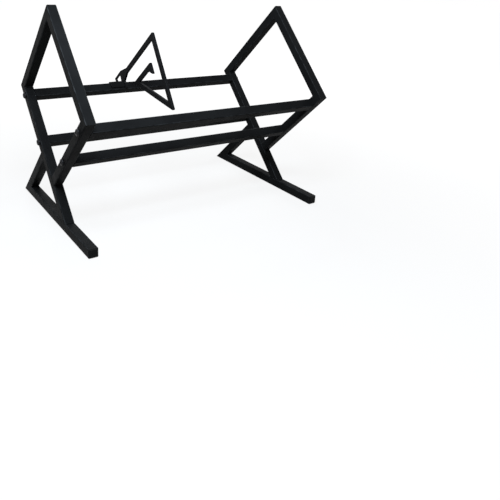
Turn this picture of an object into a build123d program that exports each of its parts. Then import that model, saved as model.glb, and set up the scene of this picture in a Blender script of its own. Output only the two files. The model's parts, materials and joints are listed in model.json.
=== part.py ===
from build123d import *

import math
import os

# Free-standing rack for records: two welded end frames of square steel tube, four rails bolted
# between them, and a bookend that slides along the rear upper rail. All lengths are millimetres.
# Row frame: +Z up, X along the rails, the front towards -Y, the origin under the middle.

# Square steel tube of the frames and rails
TUBE = 15.0
TUBE_WALL = 1.2
TUBE_CORNER = 1.8

# End frame, in its own plane. "rise" runs up and forwards, "fall" runs down and forwards, both
# from the rear corner of the trough square, and FRAME_TILT is the angle of "rise" to the floor.
FRAME_TILT = 45.0
SQUARE_RISE = 200.0
SQUARE_FALL = 195.0
FOOT_REACH = 137.0
FOOT_DROP = 128.6
BASE_LENGTH = 289.0

# Rails between the frames, placed by their distance from the trough's bottom corner
RAIL_LENGTH = 400.0
RAIL_HIGH = 169.0
RAIL_LOW = 81.0

# Plastic cap in the open front end of each base tube
CAP_HEAD = 4.0
CAP_CHAMFER = 2.0
CAP_CORNER = 1.2
CAP_STEM = 12.0
CAP_GAP = 0.05

# Button-head screws that hold the rails, and the threaded block in each rail end
BOLT_DIAMETER = 6.0
BOLT_LENGTH = 30.0
BOLT_HEAD_DIAMETER = 10.5
BOLT_HEAD_HEIGHT = 3.3
BOLT_HEAD_RIM = 1.0
BOLT_HOLE_GAP = 0.2
SOCKET_FLATS = 4.0
SOCKET_DEPTH = 2.0
THREAD_GAP = 0.05
BLOCK_LENGTH = 20.0
BLOCK_GAP = 0.05

# Bookend: a plate cut as a triangular spiral with a claw that holds the rear upper rail, and a
# saddle of folded sheet welded beside the claw to keep the plate square to the rail
SLIDE_GAP = 0.3
SADDLE_START = 135.0
SADDLE_LENGTH = 26.0
SADDLE_WALL = 2.0
SADDLE_FRONT_SHORT = 3.5
SADDLE_REAR_SHORT = 4.5
PLATE_THICK = 4.2
BAR_WIDTH = 8.3
BAR_CORNER = 2.0

# Spiral: where its first leg starts in front of and above the rail's front upper corner, the
# tilt of that leg, the length of each leg on its centreline, and the angle inside each corner
SPIRAL_FORWARD = 22.9
SPIRAL_ABOVE = 7.3
SPIRAL_TILT = 5.9
LEG_TOP = 117.0
LEG_FRONT = 121.8
LEG_BACK = 119.4
LEG_INNER = 58.8
CORNER_TOP = 85.0
CORNER_FRONT = 49.0
CORNER_BACK = 46.0
HOOK_LENGTH = 21.5
HOOK_CORNER = 1.2

# Claw: a strip over the rail with a toe behind it, a leg that stands on it, and a front arm
CLAW_BEHIND = 9.6
CLAW_HEIGHT_REAR = 23.5
CLAW_HEIGHT_FRONT = 20.7
CLAW_FORWARD = 4.5
CLAW_ROOF = 3.0
CLAW_REAR_ARM = 2.4
CLAW_DROP = 6.5
CLAW_TOE = 3.5
CLAW_LEG_FOOT = 6.2
CLAW_LEG_HEAD = 1.2
CLAW_FRONT_ARM = 4.2
CLAW_SHOULDER = 1.6
CLAW_SHOULDER_RUN = 4.4
CLAW_CORNER = 1.2

INNER = TUBE - 2 * TUBE_WALL
INNER_CORNER = TUBE_CORNER - TUBE_WALL
OUTER_X = RAIL_LENGTH / 2 + TUBE
INNER_X = RAIL_LENGTH / 2
RAIL_TOP = SQUARE_FALL - RAIL_HIGH - TUBE / 2
PLATE_X = -INNER_X + SADDLE_START + SADDLE_LENGTH
CUT_MARGIN = 30.0
DRILL_LENGTH = 3 * TUBE
BOLT_CROWN_RADIUS = BOLT_HEAD_DIAMETER / 4
TILT = math.radians(FRAME_TILT)

# The rear foot corner stands on the floor, and the base bars are centred on the origin
ORIGIN_Y = BASE_LENGTH / 2 - FOOT_REACH * math.cos(TILT) + FOOT_DROP * math.sin(TILT)
ORIGIN_Z = FOOT_REACH * math.sin(TILT) + FOOT_DROP * math.cos(TILT)

RISE = Vector(0, -math.cos(TILT), math.sin(TILT))
FALL = Vector(0, -math.sin(TILT), -math.cos(TILT))
ALONG = Vector(1, 0, 0)
UP = Vector(0, 0, 1)
FRONT = Vector(0, -1, 0)
BASE_ALIGN = (Align.CENTER, Align.CENTER, Align.MIN)

# Rail centres in the frame plane, as (rise, fall)
RAILS = {
    "rail_back_upper": (TUBE / 2, SQUARE_FALL - RAIL_HIGH),
    "rail_back_lower": (TUBE / 2, SQUARE_FALL - RAIL_LOW),
    "rail_front_upper": (RAIL_HIGH, SQUARE_FALL - TUBE / 2),
    "rail_front_lower": (RAIL_LOW, SQUARE_FALL - TUBE / 2),
}


def spot(rise, fall, x=0.0):
    """The row-frame point of a place in the frame plane."""
    return Vector(x, ORIGIN_Y, ORIGIN_Z) + RISE * rise + FALL * fall


def plane_spot(point):
    """The (rise, fall) place of a row-frame point."""
    away = point - Vector(0, ORIGIN_Y, ORIGIN_Z)
    return away.dot(RISE), away.dot(FALL)


def prism(outline, x_from, x_to):
    """A solid with an outline given in the frame plane, between two places along X."""
    face = Face(Wire.make_polygon([spot(rise, fall, x_from) for rise, fall in outline]))
    return extrude(face, amount=x_to - x_from, dir=ALONG)


def tube_section():
    return RectangleRounded(TUBE, TUBE, TUBE_CORNER) - RectangleRounded(INNER, INNER, INNER_CORNER)


def frame_tube(outline, start, end, x_from):
    """A square tube along start-end, in the frame plane, with its ends cut to the outline."""
    axis = (end - start).normalized()
    section = Plane(start - axis * CUT_MARGIN, x_dir=ALONG, z_dir=axis) * tube_section()
    blank = extrude(section, amount=(end - start).length + 2 * CUT_MARGIN, dir=axis)
    return blank & prism(outline, x_from - CUT_MARGIN, x_from + TUBE + CUT_MARGIN)


def bolt_holes(names, x_from):
    """Drills through both walls of a frame tube, in line with the named rails."""
    radius = BOLT_DIAMETER / 2 + BOLT_HOLE_GAP
    holes = []
    for name in names:
        centre = spot(*RAILS[name], x_from - TUBE)
        holes.append(Plane(centre, z_dir=ALONG) * Cylinder(radius, DRILL_LENGTH, align=BASE_ALIGN))
    return holes


def end_frame(side, x_from):
    """The six tubes of one end frame, as node name and solid, with its outer side at x_from."""
    middle_x = x_from + TUBE / 2
    half = TUBE / 2
    a, b, t = SQUARE_RISE, SQUARE_FALL, TUBE

    foot = spot(-FOOT_REACH, FOOT_DROP)
    foot_inner_fall = FOOT_DROP + t
    leg_rear_end = plane_spot(floor_point_on_fall_line(0.0, t))
    leg_front_end = plane_spot(floor_point_on_fall_line(t, t))
    foot_inner = plane_spot(floor_point_on_rise_line(foot_inner_fall, t))
    base_end = BASE_LENGTH - CAP_HEAD
    base_front_low = plane_spot(foot + FRONT * base_end)
    base_front_high = plane_spot(foot + FRONT * base_end + UP * t)

    outlines = {
        "rear_roof_tube": [(0, 0), (a, 0), (a - t, t), (t, t)],
        "front_roof_tube": [(a, 0), (a, b), (a - t, b - t), (a - t, t)],
        "front_tray_tube": [(a, b), (t, b), (t, b - t), (a - t, b - t)],
        "back_leg_tube": [(0, 0), (t, t), leg_front_end, leg_rear_end],
        "foot_strut": [(-FOOT_REACH, FOOT_DROP), (0, FOOT_DROP), (0, foot_inner_fall), foot_inner],
        "base_tube": [(-FOOT_REACH, FOOT_DROP), base_front_low, base_front_high, foot_inner],
    }
    axes = {
        "rear_roof_tube": (spot(0, half, middle_x), spot(a, half, middle_x)),
        "front_roof_tube": (spot(a - half, 0, middle_x), spot(a - half, b, middle_x)),
        "front_tray_tube": (spot(0, b - half, middle_x), spot(a, b - half, middle_x)),
        "back_leg_tube": (spot(half, 0, middle_x), spot(half, leg_front_end[1], middle_x)),
        "foot_strut": (
            spot(-FOOT_REACH, FOOT_DROP + half, middle_x),
            spot(0, FOOT_DROP + half, middle_x),
        ),
        "base_tube": (
            foot + ALONG * middle_x + UP * half,
            foot + ALONG * middle_x + UP * half + FRONT * base_end,
        ),
    }
    drilled = {
        "front_tray_tube": ("rail_front_upper", "rail_front_lower"),
        "back_leg_tube": ("rail_back_upper", "rail_back_lower"),
    }
    tubes = {}
    for name, outline in outlines.items():
        tube = frame_tube(outline, *axes[name], x_from)
        for hole in bolt_holes(drilled.get(name, ()), x_from):
            tube -= hole
        tubes[f"{side}_{name}"] = tube
    return tubes


def floor_point_on_fall_line(rise, height):
    """Where the line of one rise value meets a height above the floor."""
    fall = (ORIGIN_Z + rise * RISE.Z - height) / -FALL.Z
    return spot(rise, fall)


def floor_point_on_rise_line(fall, height):
    """Where the line of one fall value meets a height above the floor."""
    rise = (height - ORIGIN_Z - fall * FALL.Z) / RISE.Z
    return spot(rise, fall)


def rail(name):
    """One rail, between the inner sides of the frames."""
    section = Plane(spot(*RAILS[name], -INNER_X), x_dir=RISE, z_dir=ALONG) * tube_section()
    return extrude(section, amount=RAIL_LENGTH, dir=ALONG)


def rail_blocks(name):
    """The two threaded blocks in the ends of one rail."""
    side = INNER - 2 * BLOCK_GAP
    blank = extrude(RectangleRounded(side, side, INNER_CORNER), amount=BLOCK_LENGTH)
    blank -= Cylinder(BOLT_DIAMETER / 2 + THREAD_GAP, BLOCK_LENGTH, align=BASE_ALIGN)
    left = Plane(spot(*RAILS[name], -INNER_X), x_dir=RISE, z_dir=ALONG) * blank
    right = Plane(spot(*RAILS[name], INNER_X), x_dir=RISE, z_dir=-ALONG) * blank
    return Compound(children=[left, right])


def bolt():
    """A button-head screw along +Z, with its head's underside at Z = 0 and its socket open at -Z."""
    radius = BOLT_HEAD_DIAMETER / 2
    with BuildPart() as screw:
        with BuildSketch(Plane.XZ):
            with BuildLine():
                Line((0, 0), (radius, 0))
                Line((radius, 0), (radius, -BOLT_HEAD_RIM))
                RadiusArc((radius, -BOLT_HEAD_RIM), (BOLT_CROWN_RADIUS, -BOLT_HEAD_HEIGHT), radius)
                Line((BOLT_CROWN_RADIUS, -BOLT_HEAD_HEIGHT), (0, -BOLT_HEAD_HEIGHT))
                Line((0, -BOLT_HEAD_HEIGHT), (0, 0))
            make_face()
        revolve(axis=Axis.Z)
        Cylinder(BOLT_DIAMETER / 2, BOLT_LENGTH, align=BASE_ALIGN)
        with BuildSketch(Plane.XY.offset(-BOLT_HEAD_HEIGHT)):
            RegularPolygon(SOCKET_FLATS / 2, 6, major_radius=False)
        extrude(amount=SOCKET_DEPTH, mode=Mode.SUBTRACT)
    return screw.part


def frame_bolts(sign):
    """The four screws of one end frame: sign -1 for the left frame, +1 for the right one."""
    screws = []
    for centre in RAILS.values():
        place = Plane(spot(*centre, sign * OUTER_X), x_dir=RISE, z_dir=ALONG * -sign)
        screws.append(place * bolt())
    return Compound(children=screws)


def end_cap(x_from):
    """The cap in the open front end of one base tube."""
    centre = Vector(x_from + TUBE / 2, BASE_LENGTH / 2 - (BASE_LENGTH - CAP_HEAD), TUBE / 2)
    place = Plane(centre, x_dir=ALONG, z_dir=FRONT)
    rim = RectangleRounded(TUBE, TUBE, TUBE_CORNER)
    tip_side = TUBE - 2 * CAP_CHAMFER
    tip = Pos(0, 0, CAP_HEAD) * RectangleRounded(tip_side, tip_side, CAP_CORNER)
    straight = CAP_HEAD - CAP_CHAMFER
    head = extrude(rim, amount=straight) + loft([Pos(0, 0, straight) * rim, tip], ruled=True)
    side = INNER - 2 * CAP_GAP
    stem = extrude(RectangleRounded(side, side, INNER_CORNER), amount=-CAP_STEM)
    return place * (head + stem)


def turned(angle):
    """A unit direction in the frame plane, turned from rise towards fall by an angle in degrees."""
    return math.cos(math.radians(angle)), math.sin(math.radians(angle))


def crossing(point, direction, other_point, other_direction):
    """Where two lines of the frame plane cross."""
    det = direction[0] * other_direction[1] - direction[1] * other_direction[0]
    dx = other_point[0] - point[0]
    dy = other_point[1] - point[1]
    s = (dx * other_direction[1] - dy * other_direction[0]) / det
    return point[0] + s * direction[0], point[1] + s * direction[1]


def along(point, direction, distance):
    """A point moved by a distance in a direction of the frame plane."""
    return point[0] + distance * direction[0], point[1] + distance * direction[1]


def spiral_outline(start):
    """The outer and inner edge points of the spiral bar, from the claw to its hook.

    The legs turn inwards at each corner and their edges are mitred. The hook is a wedge: its
    outer edge is parallel to the front leg, and its end is cut parallel to the back leg.
    """
    angles = [SPIRAL_TILT]
    for inside in (CORNER_TOP, CORNER_FRONT, CORNER_BACK, CORNER_TOP):
        angles.append(angles[-1] + 180.0 - inside)
    directions = [turned(angle) for angle in angles]
    corners = [start]
    for direction, length in zip(directions, (LEG_TOP, LEG_FRONT, LEG_BACK, LEG_INNER)):
        corners.append(along(corners[-1], direction, length))

    edges = []
    for side in (BAR_WIDTH / 2, -BAR_WIDTH / 2):
        lines = []
        for corner, direction in zip(corners, directions):
            lines.append((along(corner, (direction[1], -direction[0]), side), direction))
        points = [lines[0][0]]
        for line, following in zip(lines, lines[1:]):
            points.append(crossing(*line, *following))
        edges.append(points)
    outer, inner = edges

    tip = along(outer[-1], directions[-1], HOOK_LENGTH)
    notch = crossing(tip, directions[2], inner[-1], directions[3])
    return outer, [tip, notch] + inner[-2::-1], directions[0]


def claw_outline():
    """The claw's edge points: from under the spiral's first leg, round the rail, to its crown."""
    top = RAIL_TOP - SLIDE_GAP
    behind = -SLIDE_GAP
    ahead = TUBE + SLIDE_GAP
    arm_outer = -CLAW_BEHIND
    arm_inner = arm_outer + CLAW_REAR_ARM
    crown_rear = (arm_outer, RAIL_TOP - CLAW_HEIGHT_REAR)
    crown_front = (TUBE + CLAW_FORWARD, RAIL_TOP - CLAW_HEIGHT_FRONT)
    run = math.dist(crown_rear, crown_front)
    roof = ((crown_front[0] - crown_rear[0]) / run, (crown_front[1] - crown_rear[1]) / run)
    under_roof = along(crown_rear, (-roof[1], roof[0]), CLAW_ROOF)
    hole_front = crossing(under_roof, roof, (TUBE - CLAW_LEG_HEAD, 0.0), (0.0, 1.0))
    hole_rear = crossing(under_roof, roof, (arm_inner, 0.0), (0.0, 1.0))
    toe_low = RAIL_TOP + CLAW_DROP
    return [
        (ahead + CLAW_FRONT_ARM, RAIL_TOP + CLAW_SHOULDER),
        (ahead + CLAW_FRONT_ARM, RAIL_TOP + TUBE),
        (ahead, RAIL_TOP + TUBE),
        (ahead, top),
        (TUBE - CLAW_LEG_FOOT, top),
        hole_front,
        hole_rear,
        (arm_inner, toe_low - CLAW_TOE),
        (behind, toe_low - CLAW_TOE),
        (behind, toe_low),
        (arm_outer, toe_low),
        crown_rear,
        crown_front,
    ]


def edges_at(solid, corners):
    """The edges along X of a solid that stand on the given corners of the frame plane."""
    found = []
    for edge in solid.edges().filter_by(Axis.X):
        here = plane_spot(edge.center())
        if any(math.dist(here, corner) < SLIDE_GAP for corner in corners):
            found.append(edge)
    return found


def bookend_plate():
    """The plate, with the spiral and the claw cut from one sheet."""
    start = (TUBE + SPIRAL_FORWARD, RAIL_TOP - SPIRAL_ABOVE)
    outer, inner, first = spiral_outline(start)
    claw = claw_outline()
    outer[0] = along(outer[0], first, CLAW_SHOULDER_RUN)
    plate = prism(outer + inner + claw, PLATE_X, PLATE_X + PLATE_THICK)
    plate = fillet(edges_at(plate, outer[1:]), BAR_CORNER)
    plate = fillet(edges_at(plate, inner[:1]), HOOK_CORNER)
    return fillet(edges_at(plate, claw[:2] + claw[-3:-1]), CLAW_CORNER)


def bookend_saddle():
    """The folded sheet round the rail's rear, top and front, with bends that follow its corners."""
    inside = SLIDE_GAP
    outside = SLIDE_GAP + SADDLE_WALL
    low_front = RAIL_TOP + TUBE - SADDLE_FRONT_SHORT
    low_rear = RAIL_TOP + TUBE - SADDLE_REAR_SHORT
    outer_bends = [(-outside, RAIL_TOP - outside), (TUBE + outside, RAIL_TOP - outside)]
    inner_bends = [(TUBE + inside, RAIL_TOP - inside), (-inside, RAIL_TOP - inside)]
    outline = outer_bends + [(TUBE + outside, low_front), (TUBE + inside, low_front)]
    outline += inner_bends + [(-inside, low_rear), (-outside, low_rear)]
    sheet = prism(outline, PLATE_X - SADDLE_LENGTH, PLATE_X)
    sheet = fillet(edges_at(sheet, outer_bends), TUBE_CORNER + outside)
    return fillet(edges_at(sheet, inner_bends), TUBE_CORNER + inside)


def build():
    parts = {}
    parts.update(end_frame("left", -OUTER_X))
    parts.update(end_frame("right", INNER_X))
    for name in RAILS:
        parts[name] = rail(name)
        parts[f"{name}_blocks"] = rail_blocks(name)
    parts["left_bolts"] = frame_bolts(-1)
    parts["right_bolts"] = frame_bolts(1)
    parts["left_end_cap"] = end_cap(-OUTER_X)
    parts["right_end_cap"] = end_cap(INNER_X)
    parts["bookend_saddle"] = bookend_saddle()
    parts["bookend_plate"] = bookend_plate()
    return parts


def main():
    os.makedirs("parts", exist_ok=True)
    for name, solid in build().items():
        export_step(solid, f"parts/{name}.step")


main()
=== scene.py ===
import json
import math
import random

import bmesh
import bpy
from mathutils import Matrix, Vector


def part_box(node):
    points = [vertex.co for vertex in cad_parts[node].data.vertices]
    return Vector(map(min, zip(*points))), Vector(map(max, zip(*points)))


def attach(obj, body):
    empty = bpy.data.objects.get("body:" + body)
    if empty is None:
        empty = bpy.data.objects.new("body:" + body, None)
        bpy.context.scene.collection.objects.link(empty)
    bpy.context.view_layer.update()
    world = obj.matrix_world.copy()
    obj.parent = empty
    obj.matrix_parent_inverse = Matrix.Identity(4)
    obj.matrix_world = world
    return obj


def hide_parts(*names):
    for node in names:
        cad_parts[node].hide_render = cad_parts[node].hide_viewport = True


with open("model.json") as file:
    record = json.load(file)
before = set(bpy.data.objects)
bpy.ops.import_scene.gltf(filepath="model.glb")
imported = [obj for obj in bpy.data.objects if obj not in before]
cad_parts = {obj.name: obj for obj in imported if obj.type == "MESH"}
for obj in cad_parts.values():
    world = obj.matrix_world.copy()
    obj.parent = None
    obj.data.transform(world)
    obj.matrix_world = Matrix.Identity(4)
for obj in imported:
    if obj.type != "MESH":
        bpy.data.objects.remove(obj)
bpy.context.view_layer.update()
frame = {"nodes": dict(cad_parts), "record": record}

random.seed(7)

# The end frames' own plane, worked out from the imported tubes. RISE runs up and forwards, FALL runs
# down and forwards, and both start from the rear corner of the trough square.
roof_low, roof_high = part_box("left_rear_roof_tube")
front_low, front_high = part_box("left_front_roof_tube")
base_low, base_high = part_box("left_base_tube")
rail_low, rail_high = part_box("rail_back_upper")

TUBE = roof_high.x - roof_low.x
OUTER_X = -base_low.x
SLOPE = math.sqrt(0.5)
ACROSS = Vector((1.0, 0.0, 0.0))
RISE = Vector((0.0, -SLOPE, SLOPE))
FALL = Vector((0.0, -SLOPE, -SLOPE))
REAR_CORNER = Vector((0.0, roof_high.y, roof_low.z))
SQUARE_RISE = (roof_high.y - roof_low.y) / SLOPE
SQUARE_FALL = (front_high.y - front_low.y) / SLOPE
HEEL = Vector((0.0, base_high.y, base_low.z))
HEEL_FALL = (HEEL - REAR_CORNER).dot(FALL)

# Camera, in metres and degrees, and where its axis meets the picture of 500 by 500 pixels
CAMERA_PLACE = Vector((-0.4824, -0.7948, 0.3961))
CAMERA_AIM = Vector((0.0264, -0.0478, 0.0878))
CAMERA_ROLL = 3.14
LENS_MM = 40.68
SENSOR_MM = 36.0
PICTURE_PIXELS = 500.0
AXIS_PIXEL = (200.0, 155.0)
NEAREST_SEEN = 0.01
FURTHEST_SEEN = 50.0

# Weld beads at the tube joints. The shares are of the bead's radius, the inset is of the tube.
WELD_RADIUS = 0.0012
WELD_SINK = 0.00035
WELD_INSET = 0.12
WELD_PITCH = 0.0017
WELD_RIPPLE = 0.09
WELD_WANDER = 0.08
WELD_WANDER_TURN = 5.0
WELD_END_SIZE = 0.05
WELD_TAPER_POWER = 8
WELD_RINGS_PER_PITCH = 8
WELD_LEAST_RINGS = 16
WELD_SPOKES = 16

# The two short welds between the saddle and the plate: how far they sink into the plate, in their
# own radius, how far they stand above the rail, and where they lie and how long they are along it
TACK_RADIUS = 0.0008
TACK_SINK = 0.2
TACK_LIFT = 0.0021
TACK_PLACES = (("rear", -0.6), ("front", 0.5))
TACK_HALF_LENGTH = 0.16

# Soft edges of the cut plate, the folded sheet and the plastic caps
PLATE_EDGE = 0.00045
SHEET_EDGE = 0.0003
CAP_EDGE = 0.00035
SOFT_SEGMENTS = 3
SOFT_PROFILE = 0.5
SAME_PLACE = 1e-6
FLAT_ANGLE = math.radians(1.0)
SHARP_ANGLE = math.radians(30.0)

# Button-head screws with a hexagon socket
BOLT_HEAD_RADIUS = 0.00525
BOLT_HEAD_RIM = 0.0010
BOLT_CROWN = 0.0027
BOLT_ARC_STEPS = 9
BOLT_STEPS = 48
SOCKET_HALF_FLATS = 0.0020
SOCKET_CHAMFER = 0.00025
SOCKET_DEPTH = 0.0020
SOCKET_POINT = 0.0005
EDGE_BREAK = 0.0003
CRISP_ANGLE = math.radians(38.0)

# Powder coat. The scales of the noises are per metre, and a range is the part of a noise that is
# used. A bump is its height in metres and its strength.
CLOUD_SCALE = 26.0
GRAIN_SCALE = 1400.0
PEEL_SCALE = 620.0
PATCH_SCALE = 75.0
SHEEN_SCALE = 60.0
NIB_SCALE = 310.0
CLOUD_SHARE = 0.7
GRAIN_SHARE = 0.3
COAT_RANGE = (0.35, 0.65)
PATCH_RANGE = (0.40, 0.62)
PATCH_LEVELS = (0.15, 1.0)
SHEEN_RANGE = (0.3, 0.7)
DULL_BELOW = 0.05
DULL_ABOVE = 0.07
NIB_RANGE = (0.72, 0.80)
PEEL_BUMP = (0.00006, 0.35)
NIB_BUMP = (0.00008, 0.5)
UNIT = (0.0, 1.0)

# Paint rubbed thin on the rounded corners and painted paler there, as wear and as a painted
# highlight, where CORNER_RANGE tells them from the flats
RUBBED_AND_HIGHLIGHT_PAINT = (0.052, 0.053, 0.055)
RUBBED_SMOOTHING = 0.12
CORNER_RANGE = (0.28, 0.48)

# The three coats: deep and pale tone, roughness, specular level, the shift that gives each its own
# noise, and a direction that its corners face at 45 degrees
FRAME_COAT = ((0.0102, 0.0103, 0.0105), (0.0160, 0.0162, 0.0166), 0.46, 0.012, 0.0, ACROSS)
RAIL_COAT = ((0.0097, 0.0098, 0.0100), (0.0150, 0.0152, 0.0156), 0.44, 0.014, 0.37, RISE)
BOOKEND_COAT = ((0.0090, 0.0090, 0.0093), (0.0146, 0.0146, 0.0151), 0.48, 0.012, 0.81, ACROSS)

# Screws, caps and threaded blocks
OXIDE_TONES = ((0.008, 0.008, 0.009), (0.020, 0.020, 0.022))
OXIDE_RANGE = (0.35, 0.7)
OXIDE_SCALE = 900.0
OXIDE_STRETCH = (3.0, 1.0, 1.0)
OXIDE_METALLIC = 0.55
OXIDE_GLOSS = 0.2
OXIDE_ROUGHNESS = (0.34, 0.5)
OXIDE_BUMP = (0.00003, 0.3)
PLASTIC_TONES = ((0.008, 0.008, 0.008), (0.014, 0.014, 0.0145))
PLASTIC_RANGE = (0.35, 0.65)
PLASTIC_GRAIN_SCALE = 2200.0
PLASTIC_CLOUD_SCALE = 90.0
PLASTIC_GLOSS = 0.05
PLASTIC_ROUGHNESS = (0.52, 0.64)
PLASTIC_BUMP = (0.00004, 0.4)
ZINC_TONES = ((0.46, 0.46, 0.45), (0.62, 0.62, 0.64))
ZINC_SCALE = 140.0
ZINC_ROUGHNESS = (0.28, 0.45)

# White surroundings for the camera and for reflections, and the dim level that lights the rack.
# The floor's glow is painted shade near the rack: a little darker there, fading to white between two
# distances from it.
WHITE = (1.0, 1.0, 1.0)
WORLD_FILL = 0.045
FLOOR_SIZE = 14.0
FLOOR_COLOUR = (0.18, 0.18, 0.18)
FLOOR_ROUGHNESS = 0.9
FLOOR_FADE = (0.3, 1.1)
FLOOR_PAINTED_SHADE_LEVELS = (0.84, 1.0)

# Square lamps: name, place, target, width, power in watts, colour
RACK_MIDDLE = (0.0, 0.0, 0.16)
LAMPS = (
    ("key_softbox", (-0.30, -0.38, 0.72), (-0.20, 0.0, 0.25), 0.3, 6.0, (0.78, 0.89, 1.0)),
    ("rear_softbox", (0.2, 1.7, 1.3), RACK_MIDDLE, 1.2, 14.0, WHITE),
    ("right_softbox", (1.9, 0.3, 0.6), RACK_MIDDLE, 1.0, 13.0, WHITE),
)


def plane_point(rise, fall, x):
    """The place of a point of the frame plane."""
    return REAR_CORNER + RISE * rise + FALL * fall + Vector((x, 0.0, 0.0))


class Nodes:
    """Adds nodes to one tree."""

    def __init__(self, tree):
        self.tree = tree

    def add(self, kind, **values):
        node = self.tree.nodes.new(kind)
        for key, value in values.items():
            setattr(node, key, value)
        return node

    def link(self, source, target):
        self.tree.links.new(source, target)

    def spread(self, value, source, target):
        """A value mapped from one range to another, held inside it."""
        node = self.add("ShaderNodeMapRange")
        names = ("From Min", "From Max", "To Min", "To Max")
        for name, number in zip(names, (*source, *target)):
            node.inputs[name].default_value = number
        self.link(value, node.inputs["Value"])
        return node.outputs["Result"]

    def maths(self, operation, first, second):
        """Two values put together. Either may be a plain number."""
        node = self.add("ShaderNodeMath", operation=operation)
        for socket, value in zip(node.inputs, (first, second)):
            if isinstance(value, (int, float)):
                socket.default_value = value
            else:
                self.link(value, socket)
        return node.outputs["Value"]

    def seen(self):
        """1 for the rays that show the surroundings, 0 for those that light the rack."""
        rays = self.add("ShaderNodeLightPath")
        seen = self.maths("MAXIMUM", rays.outputs["Is Camera Ray"], rays.outputs["Is Glossy Ray"])
        return self.maths("MAXIMUM", seen, rays.outputs["Is Transmission Ray"])


class Finish(Nodes):
    """Builds one material."""

    def __init__(self, name):
        self.material = bpy.data.materials.new(name)
        self.material.use_nodes = True
        super().__init__(self.material.node_tree)
        self.shader = self.tree.nodes["Principled BSDF"]
        self.place = self.add("ShaderNodeTexCoord").outputs["Object"]

    def constant(self, name, value):
        """A value that is the same all over, on the shader's own socket."""
        self.shader.inputs[name].default_value = value

    def drive(self, name, source):
        """A value that changes over the surface."""
        self.link(source, self.shader.inputs[name])

    def noise(self, scale, detail=3.0, roughness=0.5, stretch=None):
        """Noise over the object, as a value from 0 to 1."""
        node = self.add("ShaderNodeTexNoise")
        node.inputs["Scale"].default_value = scale
        node.inputs["Detail"].default_value = detail
        node.inputs["Roughness"].default_value = roughness
        place = self.place
        if stretch is not None:
            mapping = self.add("ShaderNodeMapping")
            mapping.inputs["Scale"].default_value = stretch
            self.link(place, mapping.inputs["Vector"])
            place = mapping.outputs["Vector"]
        self.link(place, node.inputs["Vector"])
        return node.outputs["Fac"]

    def colours(self, value, low, high):
        """A blend of two colours by a value from 0 to 1."""
        node = self.add("ShaderNodeMix", data_type="RGBA")
        node.inputs["A"].default_value = (*low, 1.0)
        node.inputs["B"].default_value = (*high, 1.0)
        self.link(value, node.inputs["Factor"])
        return node.outputs["Result"]

    def corner(self, direction):
        """1 where a rounded corner faces halfway between a direction and its side, else near 0."""
        normal = self.add("ShaderNodeNewGeometry").outputs["True Normal"]
        dot = self.add("ShaderNodeVectorMath", operation="DOT_PRODUCT")
        cross = self.add("ShaderNodeVectorMath", operation="CROSS_PRODUCT")
        length = self.add("ShaderNodeVectorMath", operation="LENGTH")
        for node in (dot, cross):
            self.link(normal, node.inputs[0])
            node.inputs[1].default_value = direction
        self.link(cross.outputs["Vector"], length.inputs[0])
        facing = self.maths("ABSOLUTE", dot.outputs["Value"], 0.0)
        half = self.maths("MULTIPLY", facing, length.outputs["Value"])
        return self.spread(half, CORNER_RANGE, UNIT)

    def bump(self, height, distance, strength, under=None):
        """A normal that follows a height, on top of another normal where one is given."""
        node = self.add("ShaderNodeBump")
        node.inputs["Strength"].default_value = strength
        node.inputs["Distance"].default_value = distance
        self.link(height, node.inputs["Height"])
        if under is not None:
            self.link(under, node.inputs["Normal"])
        return node.outputs["Normal"]


def powder_coat(name, deep, pale, roughness, gloss, offset, corner_side):
    """Satin black powder coat: orange peel, cloudy tone, dust nibs, and rounded corners painted
    paler as rubbed paint and as a painted highlight.
    """
    coat = Finish(name)
    shift = coat.add("ShaderNodeVectorMath", operation="ADD")
    shift.inputs[1].default_value = (offset, 0.0, 0.0)
    coat.link(coat.place, shift.inputs[0])
    coat.place = shift.outputs["Vector"]

    cloud = coat.maths("MULTIPLY", coat.noise(CLOUD_SCALE, detail=4.0), CLOUD_SHARE)
    grain = coat.maths("MULTIPLY", coat.noise(GRAIN_SCALE, detail=2.0), GRAIN_SHARE)
    tone = coat.spread(coat.maths("ADD", cloud, grain), COAT_RANGE, UNIT)

    patches = coat.spread(coat.noise(PATCH_SCALE, detail=4.0), PATCH_RANGE, PATCH_LEVELS)
    # Rounded corners get a paler paint, partly wear and partly a painted highlight, and are a little
    # smoother.
    rubbed_and_highlight = coat.maths("MULTIPLY", coat.corner(corner_side), patches)
    worn_and_highlight = coat.add("ShaderNodeMix", data_type="RGBA")
    worn_and_highlight.inputs["B"].default_value = (*RUBBED_AND_HIGHLIGHT_PAINT, 1.0)
    coat.link(coat.colours(tone, deep, pale), worn_and_highlight.inputs["A"])
    coat.link(rubbed_and_highlight, worn_and_highlight.inputs["Factor"])
    coat.drive("Base Color", worn_and_highlight.outputs["Result"])

    levels = (roughness - DULL_BELOW, roughness + DULL_ABOVE)
    dull = coat.spread(coat.noise(SHEEN_SCALE), SHEEN_RANGE, levels)
    smoothing = coat.maths("MULTIPLY", rubbed_and_highlight, RUBBED_SMOOTHING)
    coat.drive("Roughness", coat.maths("SUBTRACT", dull, smoothing))
    coat.constant("Specular IOR Level", gloss)

    peel = coat.bump(coat.noise(PEEL_SCALE, detail=2.0, roughness=0.4), *PEEL_BUMP)
    nibs = coat.spread(coat.noise(NIB_SCALE, detail=1.0), NIB_RANGE, UNIT)
    coat.drive("Normal", coat.bump(nibs, *NIB_BUMP, peel))
    return coat.material


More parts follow.
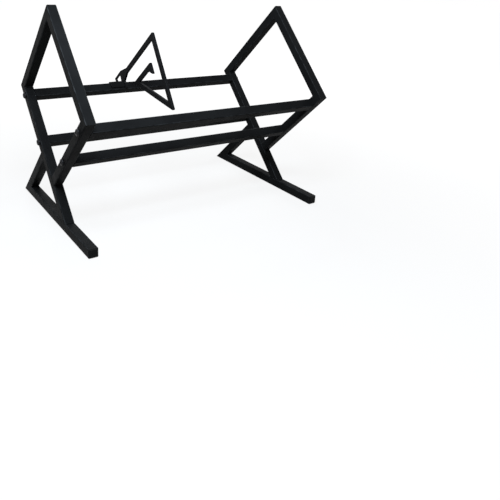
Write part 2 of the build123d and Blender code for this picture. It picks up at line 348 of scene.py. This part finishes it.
def black_oxide(name):
    """Oiled black oxide on the screws: a dark metal with fine turning marks."""
    oxide = Finish(name)
    wear = oxide.noise(OXIDE_SCALE, stretch=OXIDE_STRETCH)
    oxide.drive("Base Color", oxide.colours(oxide.spread(wear, OXIDE_RANGE, UNIT), *OXIDE_TONES))
    oxide.constant("Metallic", OXIDE_METALLIC)
    oxide.constant("Specular IOR Level", OXIDE_GLOSS)
    oxide.drive("Roughness", oxide.spread(wear, SHEEN_RANGE, OXIDE_ROUGHNESS))
    oxide.drive("Normal", oxide.bump(wear, *OXIDE_BUMP))
    return oxide.material


def cap_plastic(name):
    """Moulded black polyethylene with a fine spark-eroded texture."""
    plastic = Finish(name)
    grain = plastic.noise(PLASTIC_GRAIN_SCALE, detail=2.0)
    cloud = plastic.noise(PLASTIC_CLOUD_SCALE, detail=2.0)
    tone = plastic.spread(cloud, PLASTIC_RANGE, UNIT)
    plastic.drive("Base Color", plastic.colours(tone, *PLASTIC_TONES))
    plastic.drive("Roughness", plastic.spread(cloud, SHEEN_RANGE, PLASTIC_ROUGHNESS))
    plastic.constant("Specular IOR Level", PLASTIC_GLOSS)
    plastic.drive("Normal", plastic.bump(grain, *PLASTIC_BUMP))
    return plastic.material


def zinc_steel(name):
    """Zinc plate on the threaded blocks, with a cloudy passivated tint."""
    zinc = Finish(name)
    cloud = zinc.noise(ZINC_SCALE, detail=4.0)
    zinc.drive("Base Color", zinc.colours(zinc.spread(cloud, SHEEN_RANGE, UNIT), *ZINC_TONES))
    zinc.constant("Metallic", 1.0)
    zinc.drive("Roughness", zinc.spread(cloud, SHEEN_RANGE, ZINC_ROUGHNESS))
    return zinc.material


def new_piece(name, bm, material, body):
    """A finished mesh piece that rides on a body and takes its finish from a slot."""
    mesh = bpy.data.meshes.new(name)
    bm.normal_update()
    bm.to_mesh(mesh)
    bm.free()
    piece = bpy.data.objects.new(name, mesh)
    bpy.context.scene.collection.objects.link(piece)
    mesh.materials.append(material)
    mesh.polygons.foreach_set("use_smooth", [True] * len(mesh.polygons))
    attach(piece, body)
    return piece


def soften(node, width, material, body):
    """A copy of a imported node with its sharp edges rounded, standing for that node."""
    bm = bmesh.new()
    bm.from_mesh(frame["nodes"][node].data)
    bmesh.ops.remove_doubles(bm, verts=bm.verts, dist=SAME_PLACE)
    bmesh.ops.dissolve_limit(bm, angle_limit=FLAT_ANGLE, verts=bm.verts, edges=bm.edges)
    bm.normal_update()
    shared = [edge for edge in bm.edges if len(edge.link_faces) == 2]
    sharp = [edge for edge in shared if edge.calc_face_angle() > SHARP_ANGLE]
    bmesh.ops.bevel(
        bm, geom=sharp, offset=width, segments=SOFT_SEGMENTS, profile=SOFT_PROFILE,
        affect="EDGES", clamp_overlap=True, harden_normals=False,
    )
    piece = new_piece(node + "_soft", bm, material, body)
    modifier = piece.modifiers.new("even_normals", "WEIGHTED_NORMAL")
    modifier.keep_sharp = True
    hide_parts(node)


def weld_bead(name, start, end, radius, material, body):
    """A short fillet weld between two places: overlapping ripples that taper at both ends."""
    axis = end - start
    length = axis.length
    axis.normalize()
    side = axis.orthogonal().normalized()
    other = axis.cross(side)
    rings = max(WELD_LEAST_RINGS, int(length / WELD_PITCH * WELD_RINGS_PER_PITCH))
    wobble = random.uniform(0.0, math.tau)
    bm = bmesh.new()
    previous = None
    for ring in range(rings + 1):
        along = ring / rings
        taper = math.sqrt(1.0 - (2.0 * along - 1.0) ** WELD_TAPER_POWER)
        wave = abs(math.sin(math.pi * along * length / WELD_PITCH + wobble))
        size = radius * (1.0 + WELD_RIPPLE * wave) * max(taper, WELD_END_SIZE)
        wander = radius * WELD_WANDER * math.sin(WELD_WANDER_TURN * along + wobble)
        centre = start + axis * length * along + side * wander
        loop = []
        for spoke in range(WELD_SPOKES):
            turn = math.tau * spoke / WELD_SPOKES
            offset = side * (size * math.cos(turn)) + other * (size * math.sin(turn))
            loop.append(bm.verts.new(centre + offset))
        if previous:
            for spoke in range(WELD_SPOKES):
                following = (spoke + 1) % WELD_SPOKES
                corners = (previous[spoke], previous[following], loop[following], loop[spoke])
                bm.faces.new(corners)
        else:
            bm.faces.new(loop[::-1])
        previous = loop
    bm.faces.new(previous)
    bmesh.ops.recalc_face_normals(bm, faces=bm.faces)
    new_piece(name, bm, material, body)


def frame_welds(side, x_from, material):
    """The inside welds of one end frame, at each joint of its tubes."""
    inner = TUBE + WELD_SINK
    heel_fall = HEEL_FALL + TUBE
    heel_rise = (TUBE - REAR_CORNER.z - FALL.z * heel_fall) / RISE.z
    leg_rear_fall = (TUBE - REAR_CORNER.z) / FALL.z
    leg_front_fall = (TUBE - REAR_CORNER.z - RISE.z * TUBE) / FALL.z
    corners = {
        "rear_corner": (inner, inner),
        "top_corner": (SQUARE_RISE - inner, inner),
        "front_corner": (SQUARE_RISE - inner, SQUARE_FALL - inner),
        "tray_upper": (inner, SQUARE_FALL - inner),
        "tray_lower": (inner, SQUARE_FALL + WELD_SINK),
        "strut_upper": (-WELD_SINK, HEEL_FALL - WELD_SINK),
        "strut_lower": (-WELD_SINK, heel_fall + WELD_SINK),
        "leg_rear": (-WELD_SINK, leg_rear_fall - WELD_SINK),
        "leg_front": (inner, leg_front_fall - WELD_SINK),
        "heel": (heel_rise + 2.0 * WELD_SINK, heel_fall + WELD_SINK),
    }
    inset = TUBE * WELD_INSET
    for name, (rise, fall) in corners.items():
        start = plane_point(rise, fall, x_from + inset)
        end = plane_point(rise, fall, x_from + TUBE - inset)
        weld_bead(f"{side}_weld_{name}", start, end, WELD_RADIUS, material, "rack")


def head_loop(bm, centre, sign, radii, rise):
    """One closed loop of a screw head, from its distances to the axis all round."""
    loop = []
    for step, radius in enumerate(radii):
        turn = math.tau * step / BOLT_STEPS
        offset = Vector((sign * rise, radius * math.cos(turn), radius * math.sin(turn)))
        loop.append(bm.verts.new(centre + offset))
    return loop


def hexagon(half_flats):
    """The distances from a hexagon's middle to its edge, all round."""
    sixth = math.tau / 6.0
    radii = []
    for step in range(BOLT_STEPS):
        sector = math.tau * step / BOLT_STEPS % sixth - sixth / 2.0
        radii.append(half_flats / math.cos(sector))
    return radii


def bolt_head(bm, centre, sign, height):
    """One domed head on the outside of a frame, with a chamfered hexagon socket."""
    profile = [
        (BOLT_HEAD_RADIUS - EDGE_BREAK, 0.0),
        (BOLT_HEAD_RADIUS, EDGE_BREAK),
        (BOLT_HEAD_RADIUS, BOLT_HEAD_RIM),
    ]
    for step in range(1, BOLT_ARC_STEPS + 1):
        turn = math.pi / 2.0 * step / BOLT_ARC_STEPS
        radius = BOLT_CROWN + (BOLT_HEAD_RADIUS - BOLT_CROWN) * math.cos(turn)
        profile.append((radius, BOLT_HEAD_RIM + (height - BOLT_HEAD_RIM) * math.sin(turn)))
    loops = [head_loop(bm, centre, sign, [radius] * BOLT_STEPS, rise) for radius, rise in profile]

    bottom = height - SOCKET_DEPTH
    socket = hexagon(SOCKET_HALF_FLATS)
    loops.append(head_loop(bm, centre, sign, hexagon(SOCKET_HALF_FLATS + SOCKET_CHAMFER), height))
    loops.append(head_loop(bm, centre, sign, socket, height - SOCKET_CHAMFER))
    loops.append(head_loop(bm, centre, sign, socket, bottom))
    for first, second in zip(loops, loops[1:]):
        for step in range(BOLT_STEPS):
            following = (step + 1) % BOLT_STEPS
            bm.faces.new((first[step], first[following], second[following], second[step]))
    pit = bm.verts.new(centre + Vector((sign * (bottom - SOCKET_POINT), 0.0, 0.0)))
    for step in range(BOLT_STEPS):
        bm.faces.new((loops[-1][step], loops[-1][(step + 1) % BOLT_STEPS], pit))
    bm.faces.new(loops[0][::-1])


def bolt_heads(side, sign, material):
    """The screw heads of one end frame, in line with the rails they hold."""
    bolts_low, bolts_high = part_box(f"{side}_bolts")
    height = (bolts_high.x if sign > 0.0 else -bolts_low.x) - OUTER_X
    bm = bmesh.new()
    for rail in ("rail_back_upper", "rail_back_lower", "rail_front_upper", "rail_front_lower"):
        low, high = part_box(rail)
        centre = (low + high) / 2.0
        bolt_head(bm, Vector((sign * OUTER_X, centre.y, centre.z)), sign, height)
    bmesh.ops.recalc_face_normals(bm, faces=bm.faces)
    piece = new_piece(f"{side}_bolt_heads", bm, material, "rack")
    modifier = piece.modifiers.new("crisp_socket", "EDGE_SPLIT")
    modifier.split_angle = CRISP_ANGLE
    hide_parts(f"{side}_bolts")


def saddle_welds(material):
    """The two welds that join the top of the saddle to the side of the plate."""
    plate_low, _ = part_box("bookend_plate")
    rail_centre = (rail_low + rail_high) / 2.0
    half_rail = (rail_high.y - rail_low.y) / SLOPE / 4.0
    top = Vector((plate_low.x - TACK_RADIUS * TACK_SINK, rail_centre.y, rail_centre.z))
    top -= FALL * (half_rail + TACK_LIFT)
    half = RISE * TUBE * TACK_HALF_LENGTH
    for name, along in TACK_PLACES:
        middle = top + RISE * half_rail * along
        weld_bead(
            f"saddle_weld_{name}", middle - half, middle + half, TACK_RADIUS,
            material, "bookend",
        )


def dress():
    """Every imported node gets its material, and the detail pieces are made."""
    finishes = {
        "frame_paint": powder_coat("frame_paint", *FRAME_COAT),
        "rail_paint": powder_coat("rail_paint", *RAIL_COAT),
        "bookend_paint": powder_coat("bookend_paint", *BOOKEND_COAT),
        "bolt_black": black_oxide("bolt_black"),
        "cap_plastic": cap_plastic("cap_plastic"),
        "block_steel": zinc_steel("block_steel"),
    }
    for entry in frame["record"]["subparts"]:
        node = frame["nodes"][entry["node"]]
        node.data.materials.clear()
        node.data.materials.append(finishes[entry["material_slot"]])

    plastic = finishes["cap_plastic"]
    for side, sign, x_from in (("left", -1.0, -OUTER_X), ("right", 1.0, OUTER_X - TUBE)):
        frame_welds(side, x_from, finishes["frame_paint"])
        bolt_heads(side, sign, finishes["bolt_black"])
        soften(f"{side}_end_cap", CAP_EDGE, plastic, "rack")
    paint = finishes["bookend_paint"]
    soften("bookend_plate", PLATE_EDGE, paint, "bookend")
    soften("bookend_saddle", SHEET_EDGE, paint, "bookend")
    saddle_welds(paint)


def stage_floor():
    """A pale floor that keeps the rack's shadow, with its glow painted a little darker near the rack
    as painted shade.
    """
    bpy.ops.mesh.primitive_plane_add(size=FLOOR_SIZE, location=(0.0, 0.0, 0.0))
    floor = bpy.context.object
    floor.name = "floor"
    finish = Finish("floor")
    finish.constant("Base Color", (*FLOOR_COLOUR, 1.0))
    finish.constant("Roughness", FLOOR_ROUGHNESS)
    finish.constant("Specular IOR Level", 0.0)
    finish.constant("Emission Color", (*WHITE, 1.0))
    away = finish.add("ShaderNodeVectorMath", operation="LENGTH")
    finish.link(finish.place, away.inputs[0])
    # Painted shade: the floor's glow is lower near the rack and rises to white further away.
    level = finish.spread(away.outputs["Value"], FLOOR_FADE, FLOOR_PAINTED_SHADE_LEVELS)
    finish.drive("Emission Strength", finish.maths("MULTIPLY", finish.seen(), level))
    floor.data.materials.append(finish.material)


def stage_world():
    """A white surround for the camera and for reflections, and a dim one that lights the rack."""
    world = bpy.data.worlds.new("studio")
    bpy.context.scene.world = world
    world.use_nodes = True
    nodes = Nodes(world.node_tree)
    background = nodes.tree.nodes["Background"]
    background.inputs["Color"].default_value = (*WHITE, 1.0)
    level = nodes.spread(nodes.seen(), UNIT, (WORLD_FILL, 1.0))
    nodes.link(level, background.inputs["Strength"])


def stage_lights():
    """A small cool softbox above and in front, and neutral ones behind and to the right."""
    for name, place, target, width, power, colour in LAMPS:
        light = bpy.data.lights.new(name, "AREA")
        light.shape = "SQUARE"
        light.size = width
        light.energy = power
        light.color = colour
        lamp = bpy.data.objects.new(name, light)
        bpy.context.scene.collection.objects.link(lamp)
        lamp.location = place
        aim = Vector(target) - Vector(place)
        lamp.rotation_euler = aim.to_track_quat("-Z", "Y").to_euler()


def stage_camera():
    """The photograph's viewing angle. A small lens shift puts the rack in the upper left."""
    data = bpy.data.cameras.new("camera")
    data.sensor_width = SENSOR_MM
    data.lens = LENS_MM
    data.shift_x = 0.5 - AXIS_PIXEL[0] / PICTURE_PIXELS
    data.shift_y = AXIS_PIXEL[1] / PICTURE_PIXELS - 0.5
    data.clip_start = NEAREST_SEEN
    data.clip_end = FURTHEST_SEEN
    camera = bpy.data.objects.new("camera", data)
    bpy.context.scene.collection.objects.link(camera)
    aim = (CAMERA_AIM - CAMERA_PLACE).to_track_quat("-Z", "Y").to_matrix().to_4x4()
    roll = Matrix.Rotation(math.radians(CAMERA_ROLL), 4, "Z")
    camera.matrix_world = Matrix.Translation(CAMERA_PLACE) @ aim @ roll
    bpy.context.scene.camera = camera


dress()
stage_floor()
stage_world()
stage_lights()
stage_camera()
bpy.context.scene.view_settings.view_transform = "Standard"
